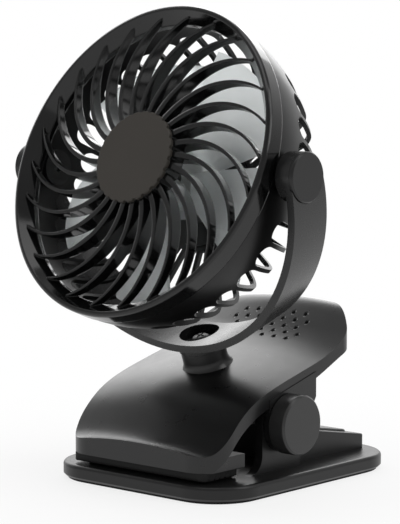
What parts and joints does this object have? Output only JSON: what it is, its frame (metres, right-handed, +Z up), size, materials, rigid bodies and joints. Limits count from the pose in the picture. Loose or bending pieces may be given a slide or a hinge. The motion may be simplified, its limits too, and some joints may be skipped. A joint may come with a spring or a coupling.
{
  "type": "clip fan",
  "caption": "Small round battery fan that tilts and swivels in a yoke on a spring clip, to stand on a table or grip an edge.",
  "frame": {"origin": "middle of the overall outline in plan, on the surface that it stands on", "axes": "+Z up, -Y the way the fan blows and the clip opens, +X to the right of someone facing the front"},
  "size_m": [0.1542, 0.1398, 0.1988],
  "materials": {
    "charcoal_abs": "satin, finely eroded mould texture",
    "dark_abs": "satin",
    "grey_abs": "fine matt",
    "black_rubber": "matt",
    "smoke_blades": "translucent, polished",
    "spring_steel": "drawn wire",
    "zinc_steel": "zinc plated",
    "pack_film": "heat-shrink film",
    "green_board": "solder mask",
    "clear_lens": "frosted",
    "nylon": "natural",
    "nickel": "plated"
  },
  "bodies": {
    "base": {"base_housing": "charcoal_abs", "base_cover": "charcoal_abs", "non_slip_foot": "black_rubber", "case_screws": "zinc_steel", "battery_door": "charcoal_abs", "battery_pack": "pack_film", "circuit_board": "green_board", "usb_socket": "nickel", "indicator_lenses": "clear_lens", "lower_grip_pad": "black_rubber", "hinge_pin": "zinc_steel", "torsion_spring": "spring_steel"},
    "button": {"power_button": "dark_abs"},
    "jaw": {"upper_jaw": "charcoal_abs", "upper_grip_pad": "black_rubber", "hinge_cap_left": "charcoal_abs", "hinge_cap_right": "charcoal_abs", "swivel_screw": "zinc_steel"},
    "yoke": {"yoke": "charcoal_abs", "yoke_cap_left": "dark_abs", "yoke_cap_right": "dark_abs", "swivel_washer": "nylon"},
    "head": {"rear_shell": "charcoal_abs", "front_grille": "charcoal_abs", "centre_cap": "grey_abs", "motor_can": "zinc_steel", "motor_screws": "zinc_steel", "pivot_screw_left": "zinc_steel", "pivot_screw_right": "zinc_steel"},
    "fan": {"impeller": "smoke_blades", "motor_shaft": "zinc_steel", "impeller_nut": "dark_abs"}
  },
  "joints": [
    {"name": "clip_hinge", "type": "hinge", "parent": "base", "child": "jaw", "pos_m": [0, 0.0007, 0.027], "axis": [-1, 0, 0], "range_deg": [0, 36], "stiffness_Nm_per_rad": 0.3, "springref_deg": -57.3, "deforming": ["torsion_spring"]},
    {"name": "yoke_swivel", "type": "hinge", "parent": "jaw", "child": "yoke", "pos_m": [0, -0.00395, 0.0555], "axis": [0, -0.3272, 0.9449], "range_deg": [-170, 170]},
    {"name": "head_tilt", "type": "hinge", "parent": "yoke", "child": "head", "pos_m": [0, -0.03006, 0.13091], "axis": [-1, 0, 0], "range_deg": [-112, 158]},
    {"name": "fan_spin", "type": "hinge", "parent": "head", "child": "fan", "pos_m": [0, -0.03006, 0.13091], "axis": [0, -0.9272, 0.3746], "continuous": true},
    {"name": "button_press", "type": "slide", "parent": "base", "child": "button", "axis": [0, -1, 0], "range_m": [0, 0.0008], "stiffness_N_per_m": 800}
  ]
}
